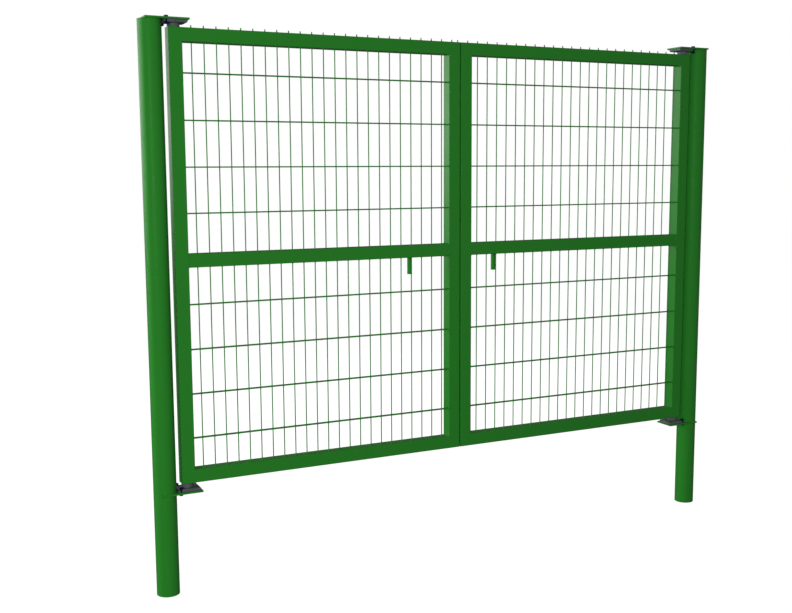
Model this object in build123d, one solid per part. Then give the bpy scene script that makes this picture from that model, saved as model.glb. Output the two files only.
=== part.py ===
"""Double swing gate: two leaves of square tube and welded mesh, hung between round posts.

Millimetres, +Z up. The origin is the centre of the left post's foot. X runs along the
gate to the right post, and -Y is the front, where the mesh lies close to the frame's face.
"""
from build123d import *
import math
import os

# Posts, of round tube
post_spacing = 2976.0
post_diameter = 102.0
post_wall = 3.0
foot_plate = 5.0

# Leaf frames, of square tube
tube_size = 60.0
tube_wall = 3.0
tube_corner = 4.0
leaf_height = 1988.0
leaf_above_foot = 501.0
post_gap = 21.0
leaf_gap = 6.0
mid_rail_rise = 964.0

# Welded mesh
wire_diameter = 5.0
wire_pitch = 55.2
row_pitch = 199.3
mesh_setback = 6.5
top_row_drop = 190.2
left_mesh_margin = 40.2
right_mesh_margin = 34.0
end_clearance = 4.0
spike_height = 10.5
seam_spike_inset = 10.4

# Hinge plates, on the posts
plate_thickness = 8.0
plate_rim = 4.0
plate_reach = 160.0
plate_overhang = 31.0
collar_gap = 0.3
upper_gap = 29.0
lower_gap = 32.0

# Bearing blocks, bolted to the plates
block_length = 100.0
block_depth = 86.0
block_thickness = 12.0
block_post_gap = 3.0
block_bevel = 4.0

# Pivots, welded to the leaves
boss_diameter = 54.0
pin_diameter = 20.0
pin_fit = 0.05
pin_end_gap = 1.0
face_gap = 0.3

# Bolts through plate and block, with shanks and holes of few sides
bolt_diameter = 10.0
bolt_flats = 17.0
bolt_head = 7.0
nut_height = 8.0
bolt_edge = 16.0
bolt_inset = 8.5
bolt_hole_gap = 0.3
head_sides = 6
shank_sides = 8

# Grips, standing off the backs of the mid rails
grip_diameter = 24.0
grip_drop = 87.0
grip_rise = 45.0
grip_from_edge = 235.0
stub_length = 12.0
stub_width = 16.0
stub_height = 36.0

# Places worked out from the sizes above, on the left-hand side
post_radius = post_diameter / 2
half_tube = tube_size / 2
outer_x = post_radius + post_gap
leaf_width = post_spacing / 2 - leaf_gap / 2 - outer_x
inner_x = outer_x + leaf_width
pivot_x = outer_x + half_tube
leaf_bottom = leaf_above_foot
leaf_top = leaf_bottom + leaf_height
mid_rail_bottom = leaf_bottom + mid_rail_rise
mid_rail_top = mid_rail_bottom + tube_size
post_top = leaf_top + upper_gap
lower_plate_top = leaf_bottom - lower_gap
plate_width = post_diameter + 2 * plate_rim
block_outer_x = post_radius + block_post_gap
bolt_x = block_outer_x + bolt_inset
bolt_y = plate_width / 2 - bolt_edge
mesh_y = mesh_setback - half_tube

# A square bar with the same section area as the round wire
wire_side = wire_diameter * math.sqrt(math.pi) / 2
row_y = mesh_y + wire_side

upwards = (Align.CENTER, Align.CENTER, Align.MIN)
downwards = (Align.CENTER, Align.CENTER, Align.MAX)


def mirrored(shape):
    """The right-hand copy of a left-hand shape."""
    centre = Plane((post_spacing / 2, 0, 0), x_dir=(0, 1, 0), z_dir=(1, 0, 0))
    return mirror(shape, about=centre)


def turned_over(shape):
    """A shape turned upside down about the X axis."""
    return Rot(180, 0, 0) * shape


def square_tube(length):
    """A square tube along +Z from the origin, with rounded outer edges."""
    outside = RectangleRounded(tube_size, tube_size, tube_corner)
    bore = tube_size - 2 * tube_wall
    return extrude(outside - Rectangle(bore, bore), length)


def mitred_tube(length):
    """A square tube along +Z with both ends cut to 45 degrees, its long side at -X."""
    reach = 4 * tube_size
    waste = Pos(0, 0, reach / 2) * Box(reach, reach, reach)
    top = Pos(0, 0, length - half_tube) * Rot(0, 45, 0) * waste
    foot = Pos(0, 0, half_tube) * Rot(0, 135, 0) * waste
    return square_tube(length) - top - foot


def make_post():
    """A round post with a closed foot, standing at the origin."""
    shell = Cylinder(post_radius, post_top, align=upwards)
    bore = Cylinder(post_radius - post_wall, post_top - foot_plate, align=upwards)
    return shell - Pos(0, 0, foot_plate) * bore


def make_stile(x, turn):
    """An upright of the leaf, turned about Z so that its long side faces outwards."""
    return Pos(x, 0, leaf_bottom) * Rot(0, 0, turn) * mitred_tube(leaf_height)


def make_edge_rail(z, turn):
    """The top or bottom rail, turned about its length so that its long side faces outwards."""
    return Pos(outer_x, 0, z) * Rot(0, 90, 0) * Rot(0, 0, turn) * mitred_tube(leaf_width)


def make_mid_rail():
    """The middle rail, butted between the stiles."""
    length = leaf_width - 2 * tube_size
    start = Pos(outer_x + tube_size, 0, mid_rail_bottom + half_tube)
    return start * Rot(0, 90, 0) * square_tube(length)


def wire_bar(length):
    """A bar for one wire, along +Z from the origin."""
    return extrude(Rectangle(wire_side, wire_side), length)


def steps_between(first, pitch, low, high):
    """The places first, first + pitch and so on that clear both ends of a bay."""
    low_step = math.ceil((low + end_clearance - first) / pitch)
    high_step = math.floor((high - end_clearance - first) / pitch)
    return [first + k * pitch for k in range(low_step, high_step + 1)]


def make_mesh(columns, rows, low_x, high_x, low_z, high_z):
    """One bay of mesh: upright wires, with level wires welded behind them."""
    upright = wire_bar(high_z - low_z)
    level = Rot(0, 90, 0) * wire_bar(high_x - low_x)
    uprights = [Pos(x, mesh_y, low_z) * upright for x in columns]
    levels = [Pos(low_x, row_y, z) * level for z in rows]
    return uprights[0].fuse(*uprights[1:], *levels)


def make_spikes(columns):
    """The short wire ends that stand on the top rail."""
    spike = wire_bar(spike_height)
    return Compound([Pos(x, mesh_y, leaf_top) * spike for x in columns])


def prism(flats, sides, height):
    """An upright prism on Z=0, with the given width across its flats."""
    return extrude(RegularPolygon(flats / 2, sides, major_radius=False), height)


def bolt_holes(height):
    """Cutters for the two bolts, through a piece that stands on Z=0."""
    cutter = prism(bolt_diameter + 2 * bolt_hole_gap, shank_sides, 3 * height)
    return [Pos(bolt_x, y, -height) * cutter for y in (-bolt_y, bolt_y)]


def make_plate():
    """A hinge plate standing on Z=0, with its bolt holes."""
    length = plate_reach + plate_overhang
    centre = Pos(plate_reach - length / 2, 0, plate_thickness / 2)
    plate = centre * Box(length, plate_width, plate_thickness)
    return plate - bolt_holes(plate_thickness)


def make_collar_plate():
    """A hinge plate with a mouth that the post passes through."""
    mouth = Cylinder(post_radius + collar_gap, 3 * plate_thickness)
    return make_plate() - mouth


def make_block():
    """A bearing block standing on Z=0, with bevelled upper edges, a bore and bolt holes."""
    centre = Pos(block_outer_x + block_length / 2, 0, block_thickness / 2)
    block = centre * Box(block_length, block_depth, block_thickness)
    upper_edges = block.faces().sort_by(Axis.Z)[-1].edges()
    block = chamfer(upper_edges, block_bevel)
    bore = Pos(pivot_x, 0, 0) * Cylinder(pin_diameter / 2 + pin_fit, 3 * block_thickness)
    return block - bore - bolt_holes(block_thickness)


def make_pivot(gap):
    """A boss hanging from Z=0 with its pin below, for a leaf that is gap above its plate."""
    boss_height = gap - block_thickness - face_gap
    boss = Cylinder(boss_diameter / 2, boss_height, align=downwards)
    pin_length = face_gap + block_thickness - pin_end_gap
    pin = Cylinder(pin_diameter / 2, pin_length, align=downwards)
    return Pos(pivot_x, 0, 0) * (boss + Pos(0, 0, -boss_height) * pin)


def make_bolts():
    """Two bolts with nuts, up through a plate whose lower face is at Z=0."""
    grip = plate_thickness + block_thickness
    head = Pos(0, 0, -bolt_head) * prism(bolt_flats, head_sides, bolt_head)
    shank = prism(bolt_diameter, shank_sides, grip + nut_height)
    nut = Pos(0, 0, grip) * prism(bolt_flats, head_sides, nut_height)
    bolt = head + shank + nut
    return [Pos(bolt_x, y, 0) * bolt for y in (-bolt_y, bolt_y)]


def make_hinge_bolts():
    """The four bolts of one post, upper pair pointing down and lower pair pointing up."""
    upper = Pos(0, 0, post_top + plate_thickness)
    lower = Pos(0, 0, lower_plate_top - plate_thickness)
    bolts = [upper * turned_over(bolt) for bolt in make_bolts()]
    bolts += [lower * bolt for bolt in make_bolts()]
    return Compound(bolts)


def make_grip():
    """A round bar that hangs below the middle rail, carried by a stub on the rail's back."""
    radius = grip_diameter / 2
    x = inner_x - grip_from_edge
    bar_y = half_tube + stub_length + radius
    bar = Cylinder(radius, grip_drop + grip_rise, align=upwards)
    bar = Pos(x, bar_y, mid_rail_bottom - grip_drop) * bar
    stub = Box(stub_width, stub_length + radius, stub_height)
    stub_y = half_tube + (stub_length + radius) / 2
    return bar + Pos(x, stub_y, mid_rail_bottom + stub_height / 2) * stub


def make_left_hand():
    """Every piece that the two sides share, as left-hand shapes by name."""
    block = make_block()
    return {
        "post": make_post(),
        "upper_plate": Pos(0, 0, post_top) * make_plate(),
        "lower_plate": Pos(0, 0, lower_plate_top - plate_thickness) * make_collar_plate(),
        "upper_block": Pos(0, 0, post_top) * turned_over(block),
        "lower_block": Pos(0, 0, lower_plate_top) * block,
        "hinge_bolts": make_hinge_bolts(),
        "upper_pivot": Pos(0, 0, leaf_top) * turned_over(make_pivot(upper_gap)),
        "lower_pivot": Pos(0, 0, leaf_bottom) * make_pivot(lower_gap),
        "hinge_stile": make_stile(outer_x + half_tube, 0),
        "meeting_stile": make_stile(inner_x - half_tube, 180),
        "top_rail": make_edge_rail(leaf_top - half_tube, 0),
        "mid_rail": make_mid_rail(),
        "bottom_rail": make_edge_rail(leaf_bottom + half_tube, 180),
        "grip": make_grip(),
    }


def make_leaf_mesh(low_x, high_x, margin, spikes):
    """The mesh of one leaf between its stiles, and its spikes, by name."""
    columns = steps_between(low_x + margin, wire_pitch, low_x, high_x)
    first_row = leaf_top - top_row_drop
    upper = (mid_rail_top, leaf_top - tube_size)
    lower = (leaf_bottom + tube_size, mid_rail_bottom)
    upper_rows = steps_between(first_row, row_pitch, *upper)
    lower_rows = steps_between(first_row, row_pitch, *lower)
    return {
        "upper_mesh": make_mesh(columns, upper_rows, low_x, high_x, *upper),
        "lower_mesh": make_mesh(columns, lower_rows, low_x, high_x, *lower),
        "spikes": make_spikes(spikes),
    }


def make_left_mesh():
    """The left leaf's mesh, with one more spike close to the seam between the leaves."""
    low_x = outer_x + tube_size
    high_x = inner_x - tube_size
    spikes = steps_between(low_x + left_mesh_margin, wire_pitch, low_x, inner_x)
    seam_spike = inner_x - seam_spike_inset
    return make_leaf_mesh(low_x, high_x, left_mesh_margin, spikes + [seam_spike])


def make_right_mesh():
    """The right leaf's mesh, with a spike over its meeting stile as well."""
    seam_x = post_spacing - inner_x
    low_x = seam_x + tube_size
    high_x = post_spacing - outer_x - tube_size
    spikes = steps_between(low_x + right_mesh_margin, wire_pitch, seam_x, high_x)
    return make_leaf_mesh(low_x, high_x, right_mesh_margin, spikes)


def main():
    """Write every piece to its own file."""
    left = make_left_hand()
    right = {name: mirrored(shape) for name, shape in left.items()}
    left.update(make_left_mesh())
    right.update(make_right_mesh())
    os.makedirs("parts", exist_ok=True)
    for side, pieces in (("left", left), ("right", right)):
        for name, shape in pieces.items():
            export_step(shape, f"parts/{side}_{name}.step")


main()
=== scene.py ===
"""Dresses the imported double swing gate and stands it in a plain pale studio.

Everything is in metres in the frame's own axes: the origin is the centre of the left post's
foot, X runs along the gate, -Y is the front and +Z is up.
"""
import logging
import math
from dataclasses import dataclass, field
from enum import Enum
from typing import Any, Iterable

import bmesh
import bpy
from mathutils import Matrix, Vector


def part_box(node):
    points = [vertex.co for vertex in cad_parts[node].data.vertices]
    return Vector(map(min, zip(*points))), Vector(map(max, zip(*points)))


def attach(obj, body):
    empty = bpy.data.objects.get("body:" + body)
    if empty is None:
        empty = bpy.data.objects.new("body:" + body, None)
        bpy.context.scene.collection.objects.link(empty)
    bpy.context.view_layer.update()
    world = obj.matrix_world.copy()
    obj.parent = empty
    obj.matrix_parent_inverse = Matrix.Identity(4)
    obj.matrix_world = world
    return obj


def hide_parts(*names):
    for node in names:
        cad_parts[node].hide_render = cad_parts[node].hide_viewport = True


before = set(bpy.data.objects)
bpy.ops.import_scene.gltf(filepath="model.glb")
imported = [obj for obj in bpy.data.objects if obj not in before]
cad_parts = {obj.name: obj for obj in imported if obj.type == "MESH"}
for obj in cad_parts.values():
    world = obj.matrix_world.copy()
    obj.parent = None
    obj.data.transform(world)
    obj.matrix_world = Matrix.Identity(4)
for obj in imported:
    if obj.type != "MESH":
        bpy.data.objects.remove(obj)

log = logging.getLogger("double_swing_gate")

Loop = list[Vector]
POSTS_BODY = "posts"
FULL_TURN = 2 * math.pi
WHITE = (1.0, 1.0, 1.0, 1.0)


class Side(Enum):
    """The two hands of the gate, named as the nodes are."""

    LEFT = "left"
    RIGHT = "right"

    @property
    def leaf(self) -> str:
        """The body that carries this side's leaf."""
        return f"{self.value}_leaf"

    @property
    def inward(self) -> int:
        """The way along X from this side's post to its leaf."""
        return 1 if self is Side.LEFT else -1

    def node(self, piece: str) -> str:
        """The CAD node of a piece on this side."""
        return f"{self.value}_{piece}"


class Slot(Enum):
    """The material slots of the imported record."""

    PAINT = "green_paint"
    STEEL = "bearing_steel"
    BOLTS = "blued_bolts"


class NodeGraph:
    """A node tree that is being filled, with short calls for its nodes and links."""

    def __init__(self, tree: bpy.types.NodeTree) -> None:
        """Keeps the tree to fill, and empties it."""
        self.tree = tree
        self.tree.nodes.clear()

    def node(self, kind: str, inputs: dict[int | str, Any] | None = None,
             **settings: Any) -> bpy.types.Node:
        """Adds one node.

        Args:
            kind: Blender's name for the type of node.
            inputs: What each input gets, by its name or number: a node, a socket or a value.
            **settings: Properties of the node itself, which are set first.

        Returns:
            The new node.
        """
        made = self.tree.nodes.new(kind)
        for name, value in settings.items():
            setattr(made, name, value)
        for key, value in (inputs or {}).items():
            self.feed(made.inputs[key], value)
        return made

    def feed(self, socket: bpy.types.NodeSocket, value: Any) -> None:
        """Links a node or socket to an input, or sets the input's own value.

        Args:
            socket: The input.
            value: A node, whose first output is taken, a socket or a plain value.
        """
        if isinstance(value, bpy.types.Node):
            value = value.outputs[0]
        if isinstance(value, bpy.types.NodeSocket):
            self.tree.links.new(value, socket)
        else:
            socket.default_value = value

    def calc(self, operation: str, first: Any, second: Any = 0.0) -> bpy.types.NodeSocket:
        """Adds a Math node for an operation such as "SINE", and returns its output."""
        return self.node("ShaderNodeMath", {0: first, 1: second}, operation=operation).outputs[0]

    def plus(self, first: Any, second: Any) -> bpy.types.NodeSocket:
        """The sum of two numbers."""
        return self.calc("ADD", first, second)

    def minus(self, first: Any, second: Any) -> bpy.types.NodeSocket:
        """The first number less the second."""
        return self.calc("SUBTRACT", first, second)

    def times(self, first: Any, second: Any) -> bpy.types.NodeSocket:
        """The product of two numbers."""
        return self.calc("MULTIPLY", first, second)

    def over(self, first: Any, second: Any) -> bpy.types.NodeSocket:
        """The first number divided by the second."""
        return self.calc("DIVIDE", first, second)

    def ramp(self, value: Any, low: float, high: float, to_low: float = 0.0,
             to_high: float = 1.0) -> bpy.types.NodeSocket:
        """Maps a number from low and high to to_low and to_high, and holds it between them."""
        return self.node("ShaderNodeMapRange", {0: value, 1: low, 2: high, 3: to_low, 4: to_high},
                         clamp=True).outputs[0]

    def noise(self, scale: Any, detail: float = 2.0, roughness: float = 0.5,
              vector: Any = None) -> bpy.types.NodeSocket:
        """Adds a Noise Texture node.

        Args:
            scale: The noise's scale.
            detail: Its detail.
            roughness: Its roughness.
            vector: Where it is read, or None for the point itself.

        Returns:
            The node's number, which is 0 to 1.
        """
        inputs = {"Scale": scale, "Detail": detail, "Roughness": roughness}
        if vector is not None:
            inputs["Vector"] = vector
        return self.node("ShaderNodeTexNoise", inputs).outputs["Fac"]

    def mix_colours(self, share: Any, first: Any, second: Any) -> bpy.types.NodeSocket:
        """Mixes two colours, with only the first at share 0 and only the second at share 1."""
        return self.node("ShaderNodeMix", {0: share, 6: first, 7: second},
                         data_type="RGBA").outputs[2]

    def vector(self, x: Any = 0.0, y: Any = 0.0, z: Any = 0.0) -> bpy.types.NodeSocket:
        """Adds a Combine XYZ node and returns its output."""
        return self.node("ShaderNodeCombineXYZ", {0: x, 1: y, 2: z}).outputs[0]

    def attribute(self, name: str) -> bpy.types.NodeSocket:
        """Reads a number that each point of the source carries, by its name."""
        return self.node("GeometryNodeInputNamedAttribute", {"Name": name},
                         data_type="FLOAT").outputs[0]


def open_group(name: str, kind: str, inputs: dict[str, str],
               outputs: dict[str, str]) -> NodeGraph:
    """Starts a node group with named sockets.

    Args:
        name: The group's name.
        kind: "ShaderNodeTree" or "GeometryNodeTree".
        inputs: The type of each input by name, such as "Float".
        outputs: The type of each output by name.

    Returns:
        The graph of the empty group.
    """
    tree = bpy.data.node_groups.new(name, kind)
    for direction, sockets in (("INPUT", inputs), ("OUTPUT", outputs)):
        for label, socket in sockets.items():
            tree.interface.new_socket(name=label, in_out=direction,
                                      socket_type=f"NodeSocket{socket}")
    return NodeGraph(tree)


def keep_object(name: str, data: bpy.types.ID) -> bpy.types.Object:
    """Puts a mesh, a light or a camera into the scene at the origin.

    Args:
        name: The object's name, which its data gets too.
        data: The mesh, whose points are already in place, the light or the camera.

    Returns:
        The new object.
    """
    data.name = name
    made = bpy.data.objects.new(name, data)
    bpy.context.scene.collection.objects.link(made)
    return made


def apply_modifier(host: bpy.types.Object, modifier: bpy.types.Modifier,
                   name: str) -> bpy.types.Object:
    """Keeps what a modifier makes of its host as a plain mesh, and deletes the host.

    Args:
        host: The object with the modifier.
        modifier: Its only modifier.
        name: The name of the piece.

    Returns:
        The piece, with no modifier on it.
    """
    evaluated = host.evaluated_get(bpy.context.evaluated_depsgraph_get())
    mesh = bpy.data.meshes.new_from_object(evaluated)
    host.modifiers.remove(modifier)
    bpy.data.objects.remove(host)
    return keep_object(name, mesh)


def point_mesh(name: str, points: Iterable[Iterable[float]],
               edges: Iterable[tuple[int, int]] = (), **numbers: list[float]) -> bpy.types.Mesh:
    """Makes a mesh of points and edges for a tree to start from.

    Args:
        name: The name of the mesh.
        points: Its points.
        edges: Its edges, as pairs of the points' numbers.
        **numbers: A number for each point, under the name that the tree reads.

    Returns:
        The mesh.
    """
    mesh = bpy.data.meshes.new(name)
    mesh.from_pydata([tuple(point) for point in points], list(edges), [])
    for label, values in numbers.items():
        mesh.attributes.new(label, "FLOAT", "POINT").data.foreach_set("value", values)
    return mesh


def smooth_solid(name: str, solid: bmesh.types.BMesh, crease: float) -> bpy.types.Object:
    """Turns a closed solid into an object with smooth faces and sharp edges.

    Args:
        name: The object's name.
        solid: The solid, which is freed.
        crease: The angle from which an edge is sharp.

    Returns:
        The object, with its faces pointing outwards.
    """
    bmesh.ops.recalc_face_normals(solid, faces=solid.faces)
    for face in solid.faces:
        face.material_index = 0
        face.smooth = True
    mesh = bpy.data.meshes.new(name)
    solid.to_mesh(mesh)
    solid.free()
    for label in ("custom_normal", "sharp_face", "sharp_edge"):
        if label in mesh.attributes:
            mesh.attributes.remove(mesh.attributes[label])
    mesh.set_sharp_from_angle(angle=crease)
    return keep_object(name, mesh)


def turns(steps: int) -> list[float]:
    """The angles of equal steps once round."""
    return [FULL_TURN * k / steps for k in range(steps)]


def polar(radius: float, angle: float, z: float) -> Vector:
    """The point at a distance and an angle from the Z axis."""
    return Vector((radius * math.cos(angle), radius * math.sin(angle), z))


@dataclass(frozen=True)
class BeadPath:
    """The line that one weld bead follows, and the bead's radius."""

    points: Loop
    radius: float
    closed: bool = True


@dataclass(frozen=True)
class SurfaceGroups:
    """The shader groups that the finishes share."""

    tone: bpy.types.NodeTree
    skin: bpy.types.NodeTree

    STREAK_STRETCH = (1.0, 1.0, 0.05)
    STREAK_SCALE = 60.0
    TONE_ENDS = (0.35, 0.95)
    SMEAR_SCALE = 9.0
    GLOSS_ENDS = (0.3, 0.7)

    @classmethod
    def build(cls) -> "SurfaceGroups":
        """Builds both groups once."""
        return cls(tone=cls._tone(), skin=cls._skin())

    @classmethod
    def _tone(cls) -> bpy.types.NodeTree:
        """Slow drift of a finish between two colours, with faint streaks that run down it.

        Returns:
            The group. Its output Share is 0 to 1 over the surface.
        """
        graph = open_group("slow_tone", "ShaderNodeTree", {
            "Vector": "Vector", "Patch Scale": "Float", "Streaks": "Float"}, {"Share": "Float"})
        entry = graph.node("NodeGroupInput").outputs
        patches = graph.noise(entry["Patch Scale"], detail=3.0, roughness=0.55,
                              vector=entry["Vector"])
        drawn = graph.node("ShaderNodeMapping", {
            "Vector": entry["Vector"], "Scale": cls.STREAK_STRETCH})
        streaks = graph.noise(cls.STREAK_SCALE, vector=drawn)
        both = graph.plus(patches, graph.times(entry["Streaks"], streaks))
        graph.node("NodeGroupOutput", {"Share": graph.ramp(both, *cls.TONE_ENDS)})
        return graph.tree

    @classmethod
    def _skin(cls) -> bpy.types.NodeTree:
        """The fine relief of a finish, from broad ripples and fine grain.

        Returns:
            The group. Height is 0 to 1 for a Bump node, and Gloss is 0 to 1 over the surface.
        """
        graph = open_group("fine_skin", "ShaderNodeTree", {
            "Vector": "Vector", "Ripple Scale": "Float", "Grain Scale": "Float",
            "Grain Share": "Float"}, {"Height": "Float", "Gloss": "Float"})
        entry = graph.node("NodeGroupInput").outputs
        place = entry["Vector"]
        ripples = graph.noise(entry["Ripple Scale"], detail=1.0, roughness=0.4, vector=place)
        grain = graph.noise(entry["Grain Scale"], roughness=0.6, vector=place)
        height = graph.node("ShaderNodeMix", {
            0: entry["Grain Share"], 2: ripples, 3: grain}, data_type="FLOAT")
        smears = graph.noise(cls.SMEAR_SCALE, detail=4.0, roughness=0.6, vector=place)
        graph.node("NodeGroupOutput", {
            "Height": height, "Gloss": graph.ramp(smears, *cls.GLOSS_ENDS)})
        return graph.tree


@dataclass(frozen=True)
class Finish:
    """One finish of the gate: a shader that draws on both shared groups."""

    name: str
    slot: Slot
    colour: tuple[float, float, float]
    drift: tuple[float, float, float]
    drift_share: float
    patch_scale: float
    streaks: float
    metallic: float
    specular: float
    rough_low: float
    rough_high: float
    ripple_scale: float
    grain_scale: float
    grain_share: float
    bump_height: float
    bump_strength: float

    def build(self, groups: SurfaceGroups) -> bpy.types.Material:
        """Makes the finish's material.

        Args:
            groups: The shared shader groups.

        Returns:
            The material.
        """
        material = bpy.data.materials.new(self.name)
        material.use_nodes = True
        graph = NodeGraph(material.node_tree)
        place = graph.node("ShaderNodeTexCoord").outputs["Object"]
        tone = graph.node("ShaderNodeGroup", {
            "Vector": place, "Patch Scale": self.patch_scale, "Streaks": self.streaks},
            node_tree=groups.tone)
        skin = graph.node("ShaderNodeGroup", {
            "Vector": place, "Ripple Scale": self.ripple_scale, "Grain Scale": self.grain_scale,
            "Grain Share": self.grain_share}, node_tree=groups.skin).outputs
        share = graph.times(tone, self.drift_share)
        colour = graph.mix_colours(share, (*self.colour, 1.0), (*self.drift, 1.0))
        rough = graph.ramp(skin["Gloss"], 0.0, 1.0, self.rough_low, self.rough_high)
        bump = graph.node("ShaderNodeBump", {
            "Strength": self.bump_strength, "Distance": self.bump_height,
            "Height": skin["Height"]})
        surface = graph.node("ShaderNodeBsdfPrincipled", {
            "Base Color": colour, "Metallic": self.metallic, "Roughness": rough,
            "Specular IOR Level": self.specular, "Normal": bump})
        graph.node("ShaderNodeOutputMaterial", {"Surface": surface})
        return material


FINISHES = (
    Finish(name="green_powder_coat", slot=Slot.PAINT, colour=(0.0145, 0.166, 0.0135),
           drift=(0.017, 0.136, 0.016), drift_share=0.35, patch_scale=1.6, streaks=0.15,
           metallic=0.0, specular=0.42, rough_low=0.26, rough_high=0.34, ripple_scale=420.0,
           grain_scale=1900.0, grain_share=0.3, bump_height=0.00012, bump_strength=0.35),
    Finish(name="dark_bearing_steel", slot=Slot.STEEL, colour=(0.150, 0.163, 0.176),
           drift=(0.085, 0.092, 0.102), drift_share=0.7, patch_scale=28.0, streaks=0.6,
           metallic=0.40, specular=0.5, rough_low=0.36, rough_high=0.55, ripple_scale=260.0,
           grain_scale=2600.0, grain_share=0.7, bump_height=0.00010, bump_strength=0.4),
    Finish(name="blued_zinc", slot=Slot.BOLTS, colour=(0.020, 0.018, 0.130),
           drift=(0.050, 0.026, 0.150), drift_share=0.9, patch_scale=70.0, streaks=0.2,
           metallic=0.85, specular=0.5, rough_low=0.26, rough_high=0.42, ripple_scale=500.0,
           grain_scale=3000.0, grain_share=0.5, bump_height=0.00005, bump_strength=0.3),
)


class PieceTree:
    """A Geometry Nodes tree that makes one kind of piece, and ends in real, finished geometry."""

    NAME = ""
    INPUTS: dict[str, str] = {}

    def __init__(self) -> None:
        """Builds the tree's sockets, its shape and the end that every tree has."""
        graph = self.graph = open_group(self.NAME, "GeometryNodeTree",
                                        {**self.INPUTS, "Finish": "Material"},
                                        {"Geometry": "Geometry"})
        self.entry = graph.node("NodeGroupInput").outputs
        real = graph.node("GeometryNodeRealizeInstances", {"Geometry": self._shape()})
        smooth = graph.node("GeometryNodeSetShadeSmooth", {"Geometry": real})
        finished = graph.node("GeometryNodeSetMaterial", {
            "Geometry": smooth, "Material": self.entry["Finish"]})
        graph.node("NodeGroupOutput", {"Geometry": finished})

    def _shape(self) -> bpy.types.Node:
        """Adds the nodes of the shape itself and returns the last one."""
        raise NotImplementedError

    def _copies(self, points: Any, shape: Any, rotation: Any = None,
                scale: Any = None) -> bpy.types.Node:
        """Copies of a shape on points.

        Args:
            points: The geometry whose points carry a copy.
            shape: The shape that is copied.
            rotation: The turn of each copy as an Euler vector, where it has one.
            scale: The size of each copy, where it isn't 1.

        Returns:
            The node that puts out the instances.
        """
        inputs: dict[int | str, Any] = {"Points": points, "Instance": shape}
        if rotation is not None:
            inputs["Rotation"] = self.graph.node("FunctionNodeEulerToRotation",
                                                 {"Euler": rotation})
        if scale is not None:
            inputs["Scale"] = scale
        return self.graph.node("GeometryNodeInstanceOnPoints", inputs)

    def _joined(self, *parts: Any) -> bpy.types.Node:
        """All the given geometry as one."""
        made = self.graph.node("GeometryNodeJoinGeometry")
        for part in parts:
            self.graph.feed(made.inputs[0], part)
        return made

    def _cone(self, top: Any, bottom: Any, depth: Any) -> bpy.types.NodeSocket:
        """A closed cone or cylinder that stands on the origin, with the tree's own sides."""
        return self.graph.node("GeometryNodeMeshCone", {
            "Vertices": self.entry["Sides"], "Radius Top": top, "Radius Bottom": bottom,
            "Depth": depth}).outputs["Mesh"]

    def _rod(self, curve: Any, radius: Any, **scale: Any) -> bpy.types.Node:
        """A closed round rod along a curve, whose size may vary along it, given as Scale."""
        ring = self.graph.node("GeometryNodeCurvePrimitiveCircle", {
            "Resolution": self.entry["Sides"], "Radius": radius})
        return self.graph.node("GeometryNodeCurveToMesh", {
            "Curve": curve, "Profile Curve": ring.outputs["Curve"], "Fill Caps": True, **scale})

    def _random(self, low: Any, high: Any) -> bpy.types.NodeSocket:
        """A random number for each point, from the tree's own seed."""
        return self.graph.node("FunctionNodeRandomValue", {
            2: low, 3: high, "Seed": self.entry["Seed"]}, data_type="FLOAT").outputs[1]


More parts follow.
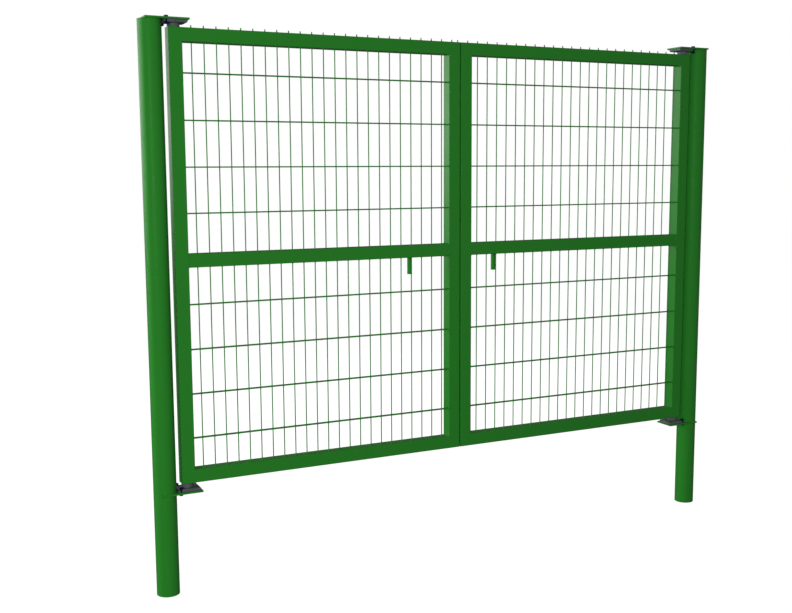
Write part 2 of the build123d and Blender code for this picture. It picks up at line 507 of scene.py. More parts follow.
class WireTree(PieceTree):
    """One bay of welded mesh, with a level wire on each side of the uprights."""

    NAME = "welded_mesh_bay"
    INPUTS = {
        "Corner": "Vector", "Bay Width": "Float", "Bay Height": "Float",
        "First Column": "Float", "Column Pitch": "Float", "Column Count": "Int",
        "First Row": "Float", "Row Pitch": "Float", "Row Count": "Int",
        "Wire Radius": "Float", "Level Radius": "Float", "Level Offset": "Float",
        "End Reach": "Float", "Sides": "Int", "Nugget Radius": "Float", "Toe Length": "Float",
        "Seed": "Int",
    }
    FRONT_SEED_STEP = 50.0
    UPRIGHT_TOE_SPREAD = 1.6
    LEVEL_TOE_SPREAD = 1.3
    TOE_TOP = 1.02
    NUGGET_SEGMENTS = 8
    NUGGET_RINGS = 5
    NUGGET_LEAST = (0.85, 0.45, 0.85)
    NUGGET_MOST = (1.1, 0.6, 1.1)

    def _wire(self, end: bpy.types.NodeSocket, radius: str) -> bpy.types.Node:
        """A straight wire from the origin, by its end and the name of its radius input."""
        line = self.graph.node("GeometryNodeCurvePrimitiveLine", {"End": end})
        return self._rod(line, self.entry[radius])

    def _line(self, count: str, start: Any, offset: Any) -> bpy.types.Node:
        """A row of points, by the name of its count input, its start and its step."""
        return self.graph.node("GeometryNodeMeshLine", {
            "Count": self.entry[count], "Start Location": start, "Offset": offset},
            mode="OFFSET")

    def _columns(self, y: Any = 0.0, z: Any = 0.0) -> bpy.types.Node:
        """A point for every upright, at the given depth and height."""
        return self._line("Column Count", self.graph.vector(self.entry["First Column"], y, z),
                          self.graph.vector(self.entry["Column Pitch"]))

    def _rows(self, x: Any = 0.0, y: Any = 0.0) -> bpy.types.Node:
        """A point for every level wire, at the given place along it and depth."""
        return self._line("Row Count", self.graph.vector(x, y, self.entry["First Row"]),
                          self.graph.vector(z=self.entry["Row Pitch"]))

    def _toe(self, radius: str, spread: float) -> bpy.types.NodeSocket:
        """The cone of weld at a wire's end, by the wire's radius input and the foot's spread."""
        size = self.entry[radius]
        return self._cone(self.graph.times(size, self.TOE_TOP), self.graph.times(size, spread),
                          self.entry["Toe Length"])

    def _uprights(self) -> list[bpy.types.Node]:
        """The upright wires of the bay, with the weld at both ends of each."""
        height = self.entry["Bay Height"]
        low, high = self._columns(), self._columns(z=height)
        toe = self._toe("Wire Radius", self.UPRIGHT_TOE_SPREAD)
        return [self._copies(low, self._wire(self.graph.vector(z=height), "Wire Radius")),
                self._copies(low, toe), self._copies(high, toe, (math.pi, 0.0, 0.0))]

    def _levels(self, side: float, seed: Any) -> list[bpy.types.Node]:
        """The level wires on one side of the uprights, welded at every crossing and both ends.

        Args:
            side: 1 behind the uprights, -1 in front of them.
            seed: The seed of the nuggets' sizes.

        Returns:
            The nodes that put out the instances.
        """
        graph, entry = self.graph, self.entry
        width, reach = entry["Bay Width"], entry["End Reach"]
        y = graph.times(entry["Level Offset"], side)
        sunk = graph.times(reach, 0.5)
        wire = self._wire(graph.vector(graph.plus(width, graph.times(reach, 2.0))),
                          "Level Radius")
        toe = self._toe("Level Radius", self.LEVEL_TOE_SPREAD)
        both = graph.plus(entry["Wire Radius"], entry["Level Radius"])
        contact = graph.times(y, graph.over(entry["Wire Radius"], both))
        crossings = graph.node("GeometryNodeRealizeInstances", {
            "Geometry": self._copies(self._columns(contact), self._rows())})
        nugget = graph.node("GeometryNodeMeshUVSphere", {
            "Segments": self.NUGGET_SEGMENTS, "Rings": self.NUGGET_RINGS,
            "Radius": entry["Nugget Radius"]})
        size = graph.node("FunctionNodeRandomValue", {
            0: self.NUGGET_LEAST, 1: self.NUGGET_MOST, "Seed": seed}, data_type="FLOAT_VECTOR")
        return [
            self._copies(self._rows(graph.times(reach, -1.0), y), wire),
            self._copies(self._rows(graph.times(sunk, -1.0), y), toe, (0.0, math.pi / 2, 0.0)),
            self._copies(self._rows(graph.plus(width, sunk), y), toe, (0.0, -math.pi / 2, 0.0)),
            self._copies(crossings, nugget.outputs["Mesh"], scale=size),
        ]

    def _shape(self) -> bpy.types.Node:
        """Joins the bay's wires and puts them in their corner."""
        front_seed = self.graph.plus(self.entry["Seed"], self.FRONT_SEED_STEP)
        joined = self._joined(*self._uprights(), *self._levels(1.0, self.entry["Seed"]),
                              *self._levels(-1.0, front_seed))
        return self.graph.node("GeometryNodeTransform", {
            "Geometry": joined, "Translation": self.entry["Corner"]})


class SpikeTree(PieceTree):
    """The wire ends on a top rail, one on each point of the source."""

    NAME = "wire_ends"
    INPUTS = {"Geometry": "Geometry", "Wire Radius": "Float", "Height": "Float",
              "Tip": "Float", "Sides": "Int", "Seed": "Int"}
    TIP_WIDTH = 0.72
    TOE_WIDTH = 1.6
    TOE_HEIGHT = 0.9

    def _shape(self) -> bpy.types.Node:
        """A straight wire end with a blunt tip and a weld toe, turned at random."""
        graph, entry = self.graph, self.entry
        radius, tip = entry["Wire Radius"], entry["Tip"]
        straight = graph.minus(entry["Height"], tip)
        cap = self._cone(graph.times(radius, self.TIP_WIDTH), radius, tip)
        raised = graph.node("GeometryNodeTransform", {
            "Geometry": cap, "Translation": graph.vector(z=straight)})
        toe = self._cone(radius, graph.times(radius, self.TOE_WIDTH),
                         graph.times(radius, self.TOE_HEIGHT))
        spike = self._joined(self._cone(radius, radius, straight), raised, toe)
        spin = self._random(-math.pi, math.pi)
        return self._copies(entry["Geometry"], spike, graph.vector(z=spin))


class BeadTree(PieceTree):
    """Weld beads along the edges of the source."""

    NAME = "weld_beads"
    INPUTS = {"Geometry": "Geometry", "Step": "Float", "Ripple Pitch": "Float",
              "Ripple": "Float", "Wander": "Float", "Taper": "Float", "Sides": "Int"}
    SIZES = {"Step": 0.0011, "Ripple Pitch": 0.0042, "Ripple": 0.07, "Wander": 0.35,
             "Taper": 0.004, "Sides": 10}
    WANDER_SCALE = 95.0
    END_SIZE = 0.45

    def _size(self) -> bpy.types.NodeSocket:
        """The bead's radius along its path: ripples, a slow wander and tapered ends."""
        graph, entry = self.graph, self.entry
        length = graph.node("GeometryNodeSplineParameter").outputs["Length"]
        total = graph.node("GeometryNodeSplineLength").outputs["Length"]
        phase = graph.times(graph.over(length, entry["Ripple Pitch"]), FULL_TURN)
        ripple = graph.times(graph.calc("SINE", phase), entry["Ripple"])
        drift = graph.minus(graph.noise(self.WANDER_SCALE, detail=1.0), 0.5)
        swell = graph.plus(graph.plus(1.0, ripple), graph.times(drift, entry["Wander"]))
        to_end = graph.calc("MINIMUM", length, graph.minus(total, length))
        inner = graph.plus(graph.over(to_end, entry["Taper"]), graph.attribute("bead_closed"))
        taper = graph.ramp(inner, 0.0, 1.0, self.END_SIZE, 1.0)
        return graph.times(graph.times(swell, taper), graph.attribute("bead_radius"))

    def _shape(self) -> bpy.types.Node:
        """Evenly stepped rods along the source's edges."""
        curve = self.graph.node("GeometryNodeMeshToCurve", {"Mesh": self.entry["Geometry"]})
        spaced = self.graph.node("GeometryNodeResampleCurve", {
            "Curve": curve, "Length": self.entry["Step"]}, mode="LENGTH")
        return self._rod(spaced, 1.0, Scale=self._size())


class FastenerTree(PieceTree):
    """A bolt on each point of the source."""

    NAME = "placed_bolts"
    INPUTS = {"Geometry": "Geometry", "Bolt": "Object", "Spin": "Float", "Seed": "Int"}

    def _shape(self) -> bpy.types.Node:
        """The bolt on each point, turned over as the point says and spun at random."""
        graph, entry = self.graph, self.entry
        bolt = graph.node("GeometryNodeObjectInfo", {"Object": entry["Bolt"]})
        spin = self._random(graph.times(entry["Spin"], -1.0), entry["Spin"])
        return self._copies(entry["Geometry"], bolt.outputs["Geometry"],
                            graph.vector(graph.attribute("turn"), 0.0, spin))


@dataclass
class Workshop:
    """The materials and trees that every sub-assembly draws on."""

    materials: dict[Slot, bpy.types.Material]
    wires: WireTree
    spikes: SpikeTree
    beads: BeadTree
    fasteners: FastenerTree

    @classmethod
    def open(cls) -> "Workshop":
        """Builds every material and tree once."""
        groups = SurfaceGroups.build()
        return cls({finish.slot: finish.build(groups) for finish in FINISHES},
                   WireTree(), SpikeTree(), BeadTree(), FastenerTree())

    def dress_frame(self) -> None:
        """Gives every CAD node its finish, by the slot that the frame's own material names."""
        for name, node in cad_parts.items():
            for held in node.material_slots:
                held.material = self.materials[Slot(held.material.name.split(".")[0])]
            log.info("node %s has its finish", name)

    def finish_piece(self, piece: bpy.types.Object, body: str, slot: Slot,
                     *replaced: str) -> None:
        """Makes a new piece ride on its body with its finish.

        Args:
            piece: The piece, in place.
            body: The CAD body that carries it.
            slot: The record's slot of its finish.
            *replaced: The CAD nodes that it stands for.
        """
        if not piece.data.materials:
            piece.data.materials.append(self.materials[slot])
        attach(piece, body)
        if replaced:
            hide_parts(*replaced)
        log.info("piece %s rides %s, %d faces", piece.name, body, len(piece.data.polygons))

    def bake(self, tree: PieceTree, name: str, values: dict[str, Any],
             slot: Slot = Slot.PAINT, source: bpy.types.Mesh | None = None) -> bpy.types.Object:
        """Runs a tree once and keeps its result as a plain mesh.

        Args:
            tree: The tree.
            name: The name of the piece.
            values: The tree's inputs by name, apart from its finish.
            slot: The record's slot of its finish.
            source: The mesh that the tree starts from, where it has one.

        Returns:
            The piece, which doesn't ride on a body yet.
        """
        host = keep_object(f"{name}_source", source or bpy.data.meshes.new(f"{name}_source"))
        modifier = host.modifiers.new("build", "NODES")
        modifier.node_group = tree.graph.tree
        values = {**values, "Finish": self.materials[slot]}
        for item in tree.graph.tree.interface.items_tree:
            if item.in_out == "INPUT" and item.name in values:
                modifier[item.identifier] = values[item.name]
        return apply_modifier(host, modifier, name)

    def weld(self, name: str, body: str, paths: Iterable[BeadPath]) -> None:
        """Makes one piece of all the weld beads of a body.

        Args:
            name: The piece's name.
            body: The body that carries the beads.
            paths: The beads' paths.
        """
        points: Loop = []
        edges: list[tuple[int, int]] = []
        radii: list[float] = []
        closed: list[float] = []
        for path in paths:
            start, count = len(points), len(path.points)
            points += path.points
            radii += [path.radius] * count
            closed += [float(path.closed)] * count
            edges += [(start + k, start + k + 1) for k in range(count - 1)]
            if path.closed:
                edges.append((start + count - 1, start))
        source = point_mesh(f"{name}_paths", points, edges, bead_radius=radii,
                            bead_closed=closed)
        piece = self.bake(self.beads, name, BeadTree.SIZES, source=source)
        self.finish_piece(piece, body, Slot.PAINT)


@dataclass(frozen=True)
class SoftEdges:
    """How CAD solids of flat plate or turned bar get softly rounded edges."""

    width: float = 0.0007
    segments: int = 2
    edge_angle: float = math.radians(25)
    merge: float = 1e-6
    flat_angle: float = math.radians(0.5)

    def remake(self, node: str) -> bpy.types.Object:
        """Copies one CAD node, merges its points and rounds its edges.

        Args:
            node: The CAD node.

        Returns:
            The rounded copy, which doesn't ride on a body yet.
        """
        name = f"{node}_finished"
        solid = bmesh.new()
        solid.from_mesh(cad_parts[node].data)
        bmesh.ops.remove_doubles(solid, verts=solid.verts, dist=self.merge)
        bmesh.ops.dissolve_limit(solid, angle_limit=self.flat_angle, verts=solid.verts,
                                 edges=solid.edges)
        host = smooth_solid(f"{name}_source", solid, self.edge_angle)
        rounding = host.modifiers.new("rounding", "BEVEL")
        rounding.width = self.width
        rounding.segments = self.segments
        rounding.limit_method = "ANGLE"
        rounding.angle_limit = self.edge_angle
        rounding.use_clamp_overlap = True
        rounding.harden_normals = True
        return apply_modifier(host, rounding, name)


@dataclass
class HexBolt:
    """A hexagon bolt with its nut, up through a plate and block from the plate's face at Z=0."""

    flats: float = 0.017
    head: float = 0.007
    washer_face: float = 0.0006
    shank_radius: float = 0.005
    grip: float = 0.020
    nut: float = 0.008
    mouth_gap: float = 0.0006
    mouth_depth: float = 0.0011
    thread_end: float = 0.002
    thread_pitch: float = 0.0015
    thread_depth: float = 0.00055
    rings_per_turn: int = 8
    corner_cut: float = 0.95
    cut_slope: float = math.tan(math.radians(30))
    crease: float = math.radians(24)
    steps: int = 48

    @property
    def rim(self) -> float:
        """The radius of the circle that the cut corners leave on a hexagon's face."""
        return self.flats / 2 * self.corner_cut

    def _circle(self, radius: float, z: float) -> Loop:
        """A round loop."""
        return [polar(radius, angle, z) for angle in turns(self.steps)]

    def _hexagon(self, z: float, slope: float = 0.0) -> Loop:
        """A hexagonal loop, whose corners move along Z where its rim is cut to a cone.

        Args:
            z: The height of the cone's circle.
            slope: How far a point moves along Z for each metre that it is outside the circle.

        Returns:
            The loop.
        """
        sector = math.pi / 3
        loop = []
        for angle in turns(self.steps):
            radius = self.flats / 2 / math.cos(angle % sector - sector / 2)
            loop.append(polar(radius, angle, z + slope * (radius - self.rim)))
        return loop

    def _head_and_shank(self) -> list[Loop]:
        """The loops of the head, its washer face and the plain shank."""
        return [
            self._circle(self.rim, -self.head),
            self._hexagon(-self.head, self.cut_slope),
            self._hexagon(-self.washer_face),
            self._circle(self.rim, -self.washer_face),
            self._circle(self.rim, 0.0),
            self._circle(self.shank_radius, 0.0),
            self._circle(self.shank_radius, self.grip + self.nut / 2),
        ]

    def _nut(self) -> list[Loop]:
        """The loops of the nut, with both rims cut and a countersunk mouth."""
        low, high = self.grip, self.grip + self.nut
        return [
            self._circle(self.rim, low),
            self._hexagon(low, self.cut_slope),
            self._hexagon(high, -self.cut_slope),
            self._circle(self.rim, high),
            self._circle(self.shank_radius + self.mouth_gap, high),
            self._circle(self.shank_radius - self.thread_depth, high - self.mouth_depth),
        ]

    def _thread(self) -> list[Loop]:
        """The loops of the threaded end, which stands out of the nut."""
        low, high = self.grip + self.nut / 2, self.grip + self.nut + self.thread_end
        count = math.ceil((high - low) / self.thread_pitch * self.rings_per_turn)
        loops = []
        for k in range(count + 1):
            z = low + (high - low) * k / count
            top_cut = max(0.0, z - (high - self.thread_depth))
            loop = []
            for angle in turns(self.steps):
                phase = (z / self.thread_pitch - angle / FULL_TURN) % 1.0
                groove = 1.0 - abs(2.0 * phase - 1.0)
                radius = self.shank_radius - self.thread_depth * groove - top_cut
                loop.append(polar(radius, angle, z))
            loops.append(loop)
        return loops

    def _shell(self, solid: bmesh.types.BMesh, loops: list[Loop]) -> None:
        """Skins a row of loops as one closed shell.

        Args:
            solid: The mesh that gets the shell.
            loops: The loops, which all have the same number of points.
        """
        rows = [[solid.verts.new(point) for point in loop] for loop in loops]
        for low, high in zip(rows, rows[1:]):
            for k in range(self.steps):
                following = (k + 1) % self.steps
                solid.faces.new((low[k], low[following], high[following], high[k]))
        solid.faces.new(reversed(rows[0]))
        solid.faces.new(rows[-1])

    def make(self, name: str) -> bpy.types.Object:
        """Makes the bolt at the origin, as an object for the placing tree."""
        solid = bmesh.new()
        for loops in (self._head_and_shank(), self._nut(), self._thread()):
            self._shell(solid, loops)
        return smooth_solid(name, solid, self.crease)


@dataclass
class GatePart:
    """A sub-assembly on one side of the gate."""

    side: Side
    work: Workshop

    def box(self, piece: str) -> tuple[Vector, Vector]:
        """The low and high corners of a CAD node on this side."""
        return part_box(self.side.node(piece))

    def soften(self, body: str, slot: Slot, *pieces: str) -> None:
        """Remakes CAD nodes of plate or bar with soft edges.

        Args:
            body: The body that carries them.
            slot: The record's slot of their finish.
            *pieces: The nodes' names without the side.
        """
        for piece in pieces:
            node = self.side.node(piece)
            self.work.finish_piece(SoftEdges().remake(node), body, slot, node)


@dataclass
class Post(GatePart):
    """One post with its two hinge plates, bearing blocks and bolts."""

    radius: float = 0.051
    bolt_from_post: float = 0.0625
    bolt_spread: float = 0.039
    bolt_spin: float = 0.35
    bolt_seed: int = 11
    bead: float = 0.0022
    bead_steps: int = 120
    bead_end_angle: float = 0.02

    def place(self, x: float, y: float, z: float) -> Vector:
        """A point given as on the left, put on this side."""
        low, high = self.box("post")
        return Vector(((low.x + high.x) / 2 + self.side.inward * x, y, z))

    def _plate_arc(self, z: float) -> BeadPath:
        """The bead where a plate meets the post, round to the plate's outer edge.

        Args:
            z: The height of the plate's face.

        Returns:
            The bead's path, open on the side away from the leaf.
        """
        low, high = self.box("upper_plate")
        axis = self.place(0, 0, 0).x
        overhang = min(abs(low.x - axis), abs(high.x - axis))
        limit = math.pi - math.acos(overhang / self.radius) - self.bead_end_angle
        angles = [limit * (2 * k / self.bead_steps - 1) for k in range(self.bead_steps + 1)]
        points = [self.place(self.radius * math.cos(a), self.radius * math.sin(a), z)
                  for a in angles]
        return BeadPath(points, self.bead, closed=False)

    def bead_paths(self) -> list[BeadPath]:
        """The beads under the upper plate and on both faces of the lower plate."""
        upper, _ = self.box("upper_plate")
        low, high = self.box("lower_plate")
        return [self._plate_arc(z) for z in (upper.z, low.z, high.z)]

    def add_bolts(self, bolt: bpy.types.Object) -> None:
        """Puts the four bolts in, upper pair pointing down and lower pair pointing up.

        Args:
            bolt: The bolt at the origin.
        """
        _, upper = self.box("upper_plate")
        lower, _ = self.box("lower_plate")
        points, overs = [], []
        for z, over in ((upper.z, math.pi), (lower.z, 0.0)):
            for y in (-self.bolt_spread, self.bolt_spread):
                points.append(self.place(self.bolt_from_post, y, z))
                overs.append(over)
        source = point_mesh(f"{self.side.value}_bolt_places", points, turn=overs)
        piece = self.work.bake(self.work.fasteners, self.side.node("hinge_bolt_set"), {
            "Bolt": bolt, "Spin": self.bolt_spin, "Seed": self.bolt_seed}, Slot.BOLTS, source)
        self.work.finish_piece(piece, POSTS_BODY, Slot.BOLTS, self.side.node("hinge_bolts"))

    def build(self, bolt: bpy.types.Object) -> None:
        """Dresses the post's own pieces, with the bolt that stands at the origin."""
        self.soften(POSTS_BODY, Slot.PAINT, "upper_plate", "lower_plate")
        self.soften(POSTS_BODY, Slot.STEEL, "upper_block", "lower_block")
        self.add_bolts(bolt)


@dataclass
class LeafMesh(GatePart):
    """The welded mesh of one leaf, in its two bays, and the wire ends on its top rail."""

    wire_radius: float = 0.0025
    column_pitch: float = 0.0552
    row_pitch: float = 0.1993
    level_radius: float = 0.0030
    level_offset: float = 0.0053
    depth: float = 0.0085
    end_reach: float = 0.0040
    top_row_drop: float = 0.1902
    clearance: float = 0.004
    nugget: float = 0.0036
    toe: float = 0.0028
    sides: int = 14
    margins: dict[Side, float] = field(
        default_factory=lambda: {Side.LEFT: 0.0402, Side.RIGHT: 0.0340})
    seam_spike_inset: float = 0.0104
    spike_tip: float = 0.0008
    spike_sides: int = 16
    spike_seed: int = 5
    spike_crease: float = math.radians(35)

    def _wire_y(self) -> float:
        """Where the upright wires' centre line lies, so that the front wires are flush."""
        low, _ = self.box("top_rail")
        return low.y + self.depth

    def _steps(self, first: float, pitch: float, low: float, high: float) -> list[float]:
        """The places first, first + pitch and so on that clear both ends.

        Args:
            first: One of the places.
            pitch: The distance between places.
            low: The lower end.
            high: The upper end.

        Returns:
            The places, in order.
        """
        start = math.ceil((low + self.clearance - first) / pitch)
        stop = math.floor((high - self.clearance - first) / pitch)
        return [first + k * pitch for k in range(start, stop + 1)]

    def add_bay(self, bay: str, seed: int) -> None:
        """Makes the round wires of one bay.

        Args:
            bay: "upper" or "lower".
            seed: The seed of the nuggets' sizes.
        """
        low, high = self.box(f"{bay}_mesh")
        _, top = self.box("top_rail")
        columns = self._steps(low.x + self.margins[self.side], self.column_pitch, low.x, high.x)
        rows = self._steps(top.z - self.top_row_drop, self.row_pitch, low.z, high.z)
        piece = self.work.bake(self.work.wires, self.side.node(f"{bay}_wires"), {
            "Corner": (low.x, self._wire_y(), low.z), "Bay Width": high.x - low.x,
            "Bay Height": high.z - low.z, "First Column": columns[0] - low.x,
            "Column Pitch": self.column_pitch, "Column Count": len(columns),
            "First Row": rows[0] - low.z, "Row Pitch": self.row_pitch,
            "Row Count": len(rows), "Wire Radius": self.wire_radius,
            "Level Radius": self.level_radius, "Level Offset": self.level_offset,
            "End Reach": self.end_reach, "Sides": self.sides, "Nugget Radius": self.nugget,
            "Toe Length": self.toe, "Seed": seed})
        self.work.finish_piece(piece, self.side.leaf, Slot.PAINT, self.side.node(f"{bay}_mesh"))

    def add_spikes(self) -> None:
        """Makes the wire ends on the top rail."""
        low, high = self.box("spikes")
        bay, bay_high = self.box("upper_mesh")
        leaf_low, leaf_high = self.box("top_rail")
        ends = (bay.x, leaf_high.x) if self.side is Side.LEFT else (leaf_low.x, bay_high.x)
        places = self._steps(bay.x + self.margins[self.side], self.column_pitch, *ends)
        if self.side is Side.LEFT:
            places.append(leaf_high.x - self.seam_spike_inset)
        source = point_mesh("spike_places", [(x, self._wire_y(), low.z) for x in places])
        piece = self.work.bake(self.work.spikes, self.side.node("wire_ends"), {
            "Wire Radius": self.wire_radius, "Height": high.z - low.z, "Tip": self.spike_tip,
            "Sides": self.spike_sides, "Seed": self.spike_seed}, source=source)
        piece.data.set_sharp_from_angle(angle=self.spike_crease)
        self.work.finish_piece(piece, self.side.leaf, Slot.PAINT, self.side.node("spikes"))

    def build(self) -> None:
        """Makes both bays and the wire ends."""
        for seed, bay in enumerate(("upper", "lower"), start=1):
            self.add_bay(bay, seed)
        self.add_spikes()


@dataclass
class LeafFrame(GatePart):
    """The welds on the square tubes of one leaf, and its pivots and grip."""

    tube: float = 0.060
    corner: float = 0.004
    corner_steps: int = 5
    seam_radius: float = 0.0026
    seam_sink: float = 0.0021
    butt_radius: float = 0.0028
    butt_sink: float = 0.0010
    boss_radius: float = 0.027
    boss_bead: float = 0.0016
    boss_steps: int = 96
    stub_half_width: float = 0.008
    stub_height: float = 0.036
    stub_bead: float = 0.0024

    def _outline(self, sink: float) -> list[tuple[float, float]]:
        """The tube's outline across its length, a little inside its surface.

        Args:
            sink: How far inside the surface the outline lies.

        Returns:
            The points as pairs: across the tube in the leaf's plane, and front to back.
        """
        reach = self.tube / 2 - self.corner
        radius = self.corner - sink
        points = []
        for quarter, (u, v) in enumerate(((1, 1), (-1, 1), (-1, -1), (1, -1))):
            for k in range(self.corner_steps + 1):
                angle = math.pi / 2 * (quarter + k / self.corner_steps)
                points.append((u * reach + radius * math.cos(angle),
                               v * reach + radius * math.sin(angle)))
        return points

    def _mitre(self, high_end: bool, left_end: bool) -> BeadPath:
        """The ground seam round one mitred corner of the leaf.

        Args:
            high_end: Whether the corner is at the leaf's top.
            left_end: Whether it is at the leaf's lower X end.

        Returns:
            The seam's path.
        """
        low, high = self.box("top_rail")
        bottom, _ = self.box("bottom_rail")
        half = self.tube / 2
        x = low.x + half if left_end else high.x - half
        z = high.z - half if high_end else bottom.z + half
        across = 1 if left_end else -1
        up = -1 if high_end else 1
        points = [Vector((x + across * u, v, z + up * u))
                  for u, v in self._outline(self.seam_sink)]
        return BeadPath(points, self.seam_radius)

    def _butt(self, left_end: bool) -> BeadPath:
        """The bead round one end of the middle rail, at lower X where left_end is true."""
        low, high = self.box("mid_rail")
        middle = (low.z + high.z) / 2
        x = low.x if left_end else high.x
        points = [Vector((x, v, middle + u)) for u, v in self._outline(self.butt_sink)]
        return BeadPath(points, self.butt_radius)

    def _boss(self, pivot: str, at_top: bool) -> BeadPath:
        """The bead where a pivot's boss meets the leaf, which is below the pivot at the top."""
        low, high = self.box(pivot)
        x, z = (low.x + high.x) / 2, low.z if at_top else high.z
        points = [Vector((x + self.boss_radius * math.cos(a), self.boss_radius * math.sin(a), z))
                  for a in turns(self.boss_steps)]
        return BeadPath(points, self.boss_bead)

    def _stub(self) -> BeadPath:
        """The bead where the grip's stub meets the back of the middle rail."""
        low, high = self.box("grip")
        rail_low, rail_high = self.box("mid_rail")
        x, half = (low.x + high.x) / 2, self.stub_half_width
        foot, top = rail_low.z, rail_low.z + self.stub_height
        corners = ((-half, foot), (half, foot), (half, top), (-half, top))
        return BeadPath([Vector((x + u, rail_high.y, z)) for u, z in corners], self.stub_bead)

    def build(self) -> None:
        """Rounds the pivots and the grip and lays every bead of the leaf."""
        self.soften(self.side.leaf, Slot.STEEL, "upper_pivot", "lower_pivot")
        self.soften(self.side.leaf, Slot.PAINT, "grip")
        paths = [self._mitre(high, left) for high in (True, False) for left in (True, False)]
        paths += [self._butt(left) for left in (True, False)]
        paths += [self._boss("upper_pivot", True), self._boss("lower_pivot", False),
                  self._stub()]
        self.work.weld(self.side.node("leaf_welds"), self.side.leaf, paths)


@dataclass
class Softbox:
    """One large soft light that looks at the gate, and that the gate doesn't mirror."""

    name: str
    place: tuple[float, float, float]
    width: float
    height: float
    power: float
    target: tuple[float, float, float] = (1.49, 0.0, 1.25)

    def build(self) -> None:
        """Hangs the light."""
        lamp = bpy.data.lights.new(self.name, "AREA")
        lamp.shape = "RECTANGLE"
        lamp.size, lamp.size_y, lamp.energy = self.width, self.height, self.power
        made = keep_object(self.name, lamp)
        made.location = self.place
        aim = Vector(self.target) - Vector(self.place)
        made.rotation_euler = aim.to_track_quat("-Z", "Y").to_euler()
        made.visible_glossy = False


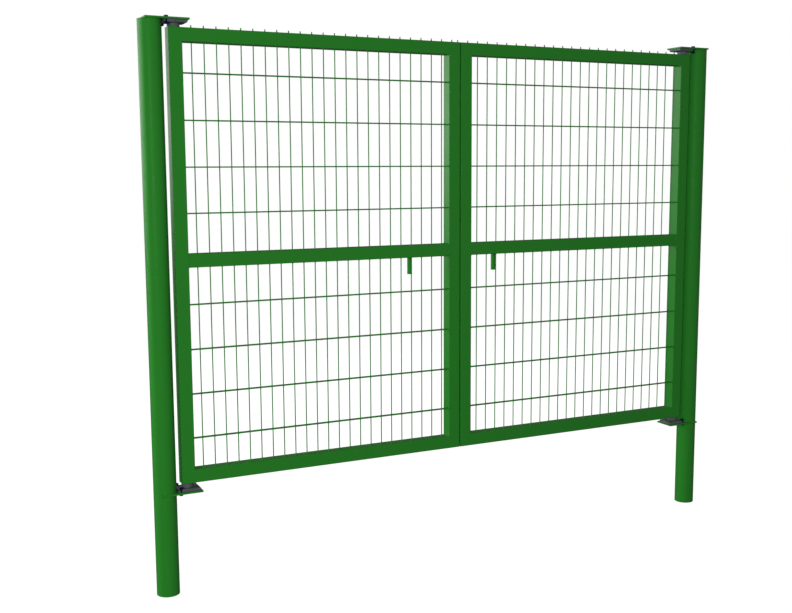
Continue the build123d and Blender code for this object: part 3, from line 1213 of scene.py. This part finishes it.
@dataclass
class Studio:
    """The pale floor, the soft light and the camera at the photograph's angle."""

    camera_place: tuple[float, float, float] = (-1.0845, -4.5558, 1.8814)
    camera_right: tuple[float, float, float] = (0.89763, -0.440701, -0.005472)
    camera_down: tuple[float, float, float] = (-0.061011, -0.111953, -0.991845)
    camera_ahead: tuple[float, float, float] = (0.436491, 0.890646, -0.127381)
    lens: float = 48.165
    sensor: float = 36.0
    clip: tuple[float, float] = (0.05, 200.0)
    floor_size: float = 60.0
    floor_middle: float = 1.5
    floor_gap: float = 0.0005
    floor_glow: float = 0.965
    floor_white: float = 0.10
    floor_shade: float = 0.985
    floor_patches: float = 3.0
    floor_patch_ends: tuple[float, float] = (0.3, 0.7)
    floor_roughness: float = 0.9
    floor_specular: float = 0.1
    backdrop: float = 1.0
    sky: tuple[float, float, float] = (0.28, 0.30, 0.12)
    sky_top: float = 0.9
    sky_bottom: float = -0.5
    mirror_dark: float = 0.07
    mirror_bright: float = 2.10
    mirror_side: tuple[float, float, float] = (-0.8, 0.6, 0.0)
    mirror_turn: tuple[float, float] = (0.68, 0.86)
    mirror_foot: tuple[float, float] = (-0.06, 0.02)
    mirror_head: tuple[float, float] = (0.12, 0.35)
    mirror_above: float = 0.15
    lights: tuple[Softbox, ...] = (
        Softbox("key_light", (-3.2, -6.8, 2.3), 3.0, 2.4, 560.0),
        Softbox("side_light", (-4.2, 3.1, 1.7), 2.0, 3.0, 300.0),
        Softbox("rear_light", (2.6, 5.6, 3.0), 4.0, 2.4, 170.0),
        Softbox("far_light", (7.8, 1.2, 2.0), 2.4, 2.4, 80.0),
    )

    def add_camera(self) -> None:
        """Makes the camera and hands it to the scene."""
        data = bpy.data.cameras.new("photo_camera")
        data.lens, data.sensor_width = self.lens, self.sensor
        data.clip_start, data.clip_end = self.clip
        made = keep_object("photo_camera", data)
        right, down, ahead = (Vector(v).normalized() for v in (
            self.camera_right, self.camera_down, self.camera_ahead))
        turn = Matrix((right, -down, -ahead)).transposed().to_4x4()
        made.matrix_world = Matrix.Translation(self.camera_place) @ turn
        bpy.context.scene.camera = made

    def add_floor(self) -> None:
        """Lays the floor, which glows so that it stays pale to its far edge."""
        half = self.floor_size / 2
        mesh = bpy.data.meshes.new("floor")
        mesh.from_pydata([(self.floor_middle + x * half, y * half, -self.floor_gap)
                          for x, y in ((-1, -1), (1, -1), (1, 1), (-1, 1))], [], [(0, 1, 2, 3)])
        floor = keep_object("floor", mesh)
        material = bpy.data.materials.new("pale_floor")
        material.use_nodes = True
        graph = NodeGraph(material.node_tree)
        place = graph.node("ShaderNodeTexCoord").outputs["Object"]
        mottle = graph.noise(self.floor_patches, vector=place)
        pale, shaded = self.floor_white, self.floor_white * self.floor_shade
        colour = graph.mix_colours(graph.ramp(mottle, *self.floor_patch_ends),
                                   (pale, pale, pale, 1.0), (shaded, shaded, shaded, 1.0))
        surface = graph.node("ShaderNodeBsdfPrincipled", {
            "Base Color": colour, "Roughness": self.floor_roughness,
            "Specular IOR Level": self.floor_specular, "Emission Color": WHITE,
            "Emission Strength": self.floor_glow})
        graph.node("ShaderNodeOutputMaterial", {"Surface": surface})
        mesh.materials.append(material)
        floor.visible_diffuse = False
        floor.visible_glossy = False

    def add_surroundings(self) -> None:
        """Sets a white backdrop for the camera, and soft light for everything else."""
        world = bpy.data.worlds.new("studio")
        bpy.context.scene.world = world
        world.use_nodes = True
        graph = NodeGraph(world.node_tree)
        direction = graph.node("ShaderNodeTexCoord").outputs["Generated"]
        height = graph.node("ShaderNodeSeparateXYZ", {"Vector": direction}).outputs["Z"]
        above, level, below = self.sky
        high = graph.ramp(height, 0.0, self.sky_top, level, above)
        light = graph.times(high, graph.ramp(height, self.sky_bottom, 0.0, below, 1.0))
        soft, mirrored, plain = (
            graph.node("ShaderNodeBackground", {"Color": WHITE, "Strength": strength})
            for strength in (light, self._mirrored(graph, direction, height), self.backdrop))
        rays = graph.node("ShaderNodeLightPath").outputs
        unseen = graph.node("ShaderNodeMixShader", {
            0: rays["Is Glossy Ray"], 1: soft, 2: mirrored})
        both = graph.node("ShaderNodeMixShader", {
            0: rays["Is Camera Ray"], 1: unseen, 2: plain})
        graph.node("ShaderNodeOutputWorld", {"Surface": both})

    def _mirrored(self, graph: NodeGraph, direction: Any, height: Any) -> bpy.types.NodeSocket:
        """What the gate mirrors: a bright band near the horizon, to the left and behind.

        Args:
            graph: The world's graph.
            direction: The way that the ray goes.
            height: Its upward part.

        Returns:
            The strength in that direction.
        """
        aside = graph.node("ShaderNodeVectorMath", {0: direction, 1: self.mirror_side},
                           operation="DOT_PRODUCT").outputs["Value"]
        rising = graph.ramp(height, *self.mirror_foot)
        falling = graph.ramp(height, *self.mirror_head, 1.0, self.mirror_above)
        band = graph.times(graph.times(rising, falling), graph.ramp(aside, *self.mirror_turn))
        return graph.ramp(band, 0.0, 1.0, self.mirror_dark, self.mirror_bright)

    def build(self) -> None:
        """Sets up the whole studio."""
        bpy.context.scene.view_settings.view_transform = "Standard"
        self.add_camera()
        self.add_surroundings()
        self.add_floor()
        for light in self.lights:
            light.build()


def corners(box: tuple[Vector, Vector]) -> list[list[float]]:
    """A box's two corners as plain lists."""
    return [list(corner) for corner in box]


def main() -> None:
    """Builds every sub-assembly in order."""
    logging.basicConfig(level=logging.INFO, format="%(message)s")
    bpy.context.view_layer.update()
    Studio().build()
    work = Workshop.open()
    work.dress_frame()
    bolt = HexBolt().make("bolt_pattern")
    posts = [Post(side, work) for side in Side]
    for post in posts:
        post.build(bolt)
    bpy.data.objects.remove(bolt)
    work.weld("post_welds", POSTS_BODY, [path for post in posts for path in post.bead_paths()])
    for side in Side:
        LeafMesh(side, work).build()
        LeafFrame(side, work).build()


if __name__ == "__main__":
    main()
